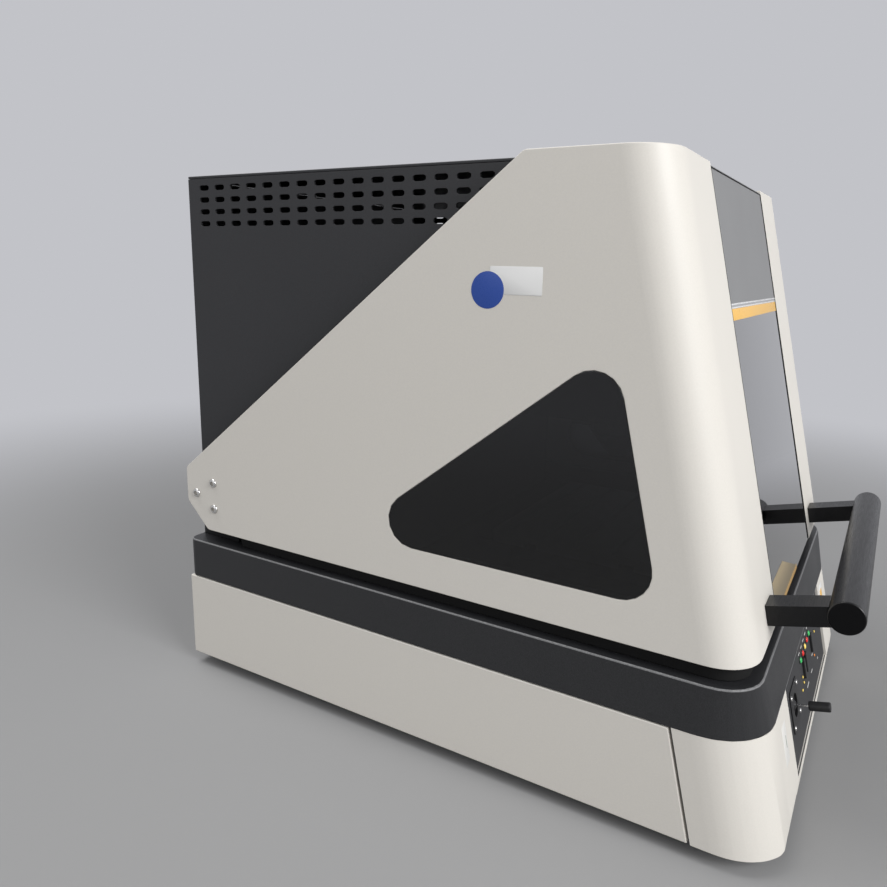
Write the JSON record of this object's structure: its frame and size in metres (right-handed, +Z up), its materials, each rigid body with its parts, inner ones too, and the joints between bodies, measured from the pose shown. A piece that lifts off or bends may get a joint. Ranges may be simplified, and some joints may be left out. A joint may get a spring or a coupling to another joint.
{
  "type": "x-ray fluorescence analyzer",
  "caption": "Benchtop x-ray fluorescence analyzer: wedge-fronted lifting hood with tinted windows and a bar handle over a sample stage, slotted rear housing, pale base with controls.",
  "frame": {"origin": "on the table under the centre of the overall box, handle and hood tails included", "axes": "+Z up, -Y towards the operator (sloping front, handle and controls), +X to the operator's right"},
  "size_m": [0.57, 0.787, 0.643],
  "materials": {
    "pale_shell": "fine satin powder coat, warm off-white",
    "dark_case": "charcoal textured powder coat",
    "front_grey": "mid grey textured powder coat",
    "black_metal": "black anodised, satin",
    "tinted_glass": "dark tinted, polished",
    "rubber": "matt black",
    "steel": "zinc-plated, brushed",
    "alloy": "machined aluminium",
    "board_green": "circuit board with solder mask",
    "black_plastic": "moulded black plastic, fine texture"
  },
  "bodies": {
    "chassis": {"base_pan": "steel", "base_panel_left": "pale_shell", "base_panel_right": "pale_shell", "base_panel_rear": "pale_shell", "corner_cover_left": "pale_shell", "corner_cover_right": "pale_shell", "front_sill": "pale_shell", "foot_front_left": "rubber", "foot_front_right": "rubber", "foot_rear_left": "rubber", "foot_rear_right": "rubber", "deck_tray": "dark_case", "chamber_gasket": "rubber", "housing_side_left": "dark_case", "housing_side_right": "dark_case", "housing_top_cover": "dark_case", "housing_back_cover": "dark_case", "chamber_back_wall": "dark_case", "head_bay_cover": "dark_case", "fan_frame": "black_plastic", "fan_guard": "black_metal", "mains_inlet": "black_plastic", "hinge_bracket_left": "steel", "hinge_bracket_right": "steel", "hv_generator": "alloy", "power_supply": "alloy", "controller_board": "board_green", "stage_base": "black_metal", "head_guide": "black_metal", "console_panel": "dark_case", "indicator_board": "board_green", "joystick_bezel": "black_plastic"},
    "hood": {"hood_shell_left": "pale_shell", "hood_shell_right": "pale_shell", "hood_top_panel": "dark_case", "hood_front_panel": "front_grey", "hood_glass": "tinted_glass", "hood_window_left": "tinted_glass", "hood_window_right": "tinted_glass", "hood_frame": "black_metal", "hinge_plate_left": "steel", "hinge_plate_right": "steel", "handle_bar": "black_metal", "handle_arm_left": "black_metal", "handle_arm_right": "black_metal"},
    "measuring_head": {"head_carriage": "black_metal", "head_block": "alloy", "tube_housing": "alloy", "collimator_nose": "steel", "detector_snout": "steel", "sample_camera": "black_metal"},
    "stage_carriage": {"stage_carriage": "black_metal"},
    "stage_table": {"stage_table": "alloy"},
    "fan_rotor": {"fan_rotor": "black_plastic"},
    "power_rocker": {"power_rocker": "black_plastic"},
    "joystick_gimbal": {"joystick_gimbal": "steel"},
    "joystick_stick": {"joystick_stick": "black_plastic"},
    "panel_key_1": {"panel_key_1": "black_plastic"},
    "panel_key_2": {"panel_key_2": "black_plastic"},
    "panel_key_3": {"panel_key_3": "black_plastic"}
  },
  "joints": [
    {"name": "hood_hinge", "type": "hinge", "parent": "chassis", "child": "hood", "pos_m": [0, 0.35449, 0.245], "axis": [-1, 0, 0], "range_deg": [0, 50]},
    {"name": "head_lift", "type": "slide", "parent": "chassis", "child": "measuring_head", "axis": [0, 0, 1], "range_m": [-0.06, 0.03]},
    {"name": "stage_y_slide", "type": "slide", "parent": "chassis", "child": "stage_carriage", "axis": [0, 1, 0], "range_m": [-0.05, 0.05]},
    {"name": "stage_x_slide", "type": "slide", "parent": "stage_carriage", "child": "stage_table", "axis": [1, 0, 0], "range_m": [-0.06, 0.06]},
    {"name": "fan_spin", "type": "hinge", "parent": "chassis", "child": "fan_rotor", "pos_m": [0.12, 0.3765, 0.52], "axis": [0, 1, 0], "continuous": true},
    {"name": "power_rocker_tilt", "type": "hinge", "parent": "chassis", "child": "power_rocker", "pos_m": [-0.2067, 0.388, 0.074], "axis": [0, 0, 1], "range_deg": [0, 16]},
    {"name": "joystick_forward_tilt", "type": "hinge", "parent": "chassis", "child": "joystick_gimbal", "pos_m": [-0.103, -0.33597, 0.08687], "axis": [1, 0, 0], "range_deg": [-15, 15], "stiffness_Nm_per_rad": 0.05},
    {"name": "joystick_side_tilt", "type": "hinge", "parent": "joystick_gimbal", "child": "joystick_stick", "pos_m": [-0.103, -0.33597, 0.08687], "axis": [0, 0.2407, 0.9706], "range_deg": [-15, 15], "stiffness_Nm_per_rad": 0.05},
    {"name": "key_1_press", "type": "slide", "parent": "chassis", "child": "panel_key_1", "axis": [0, 0.9706, -0.2407], "range_m": [0, 0.002], "stiffness_N_per_m": 400, "springref_m": -0.001},
    {"name": "key_2_press", "type": "slide", "parent": "chassis", "child": "panel_key_2", "axis": [0, 0.9706, -0.2407], "range_m": [0, 0.002], "stiffness_N_per_m": 400, "springref_m": -0.001},
    {"name": "key_3_press", "type": "slide", "parent": "chassis", "child": "panel_key_3", "axis": [0, 0.9706, -0.2407], "range_m": [0, 0.002], "stiffness_N_per_m": 400, "springref_m": -0.001}
  ]
}
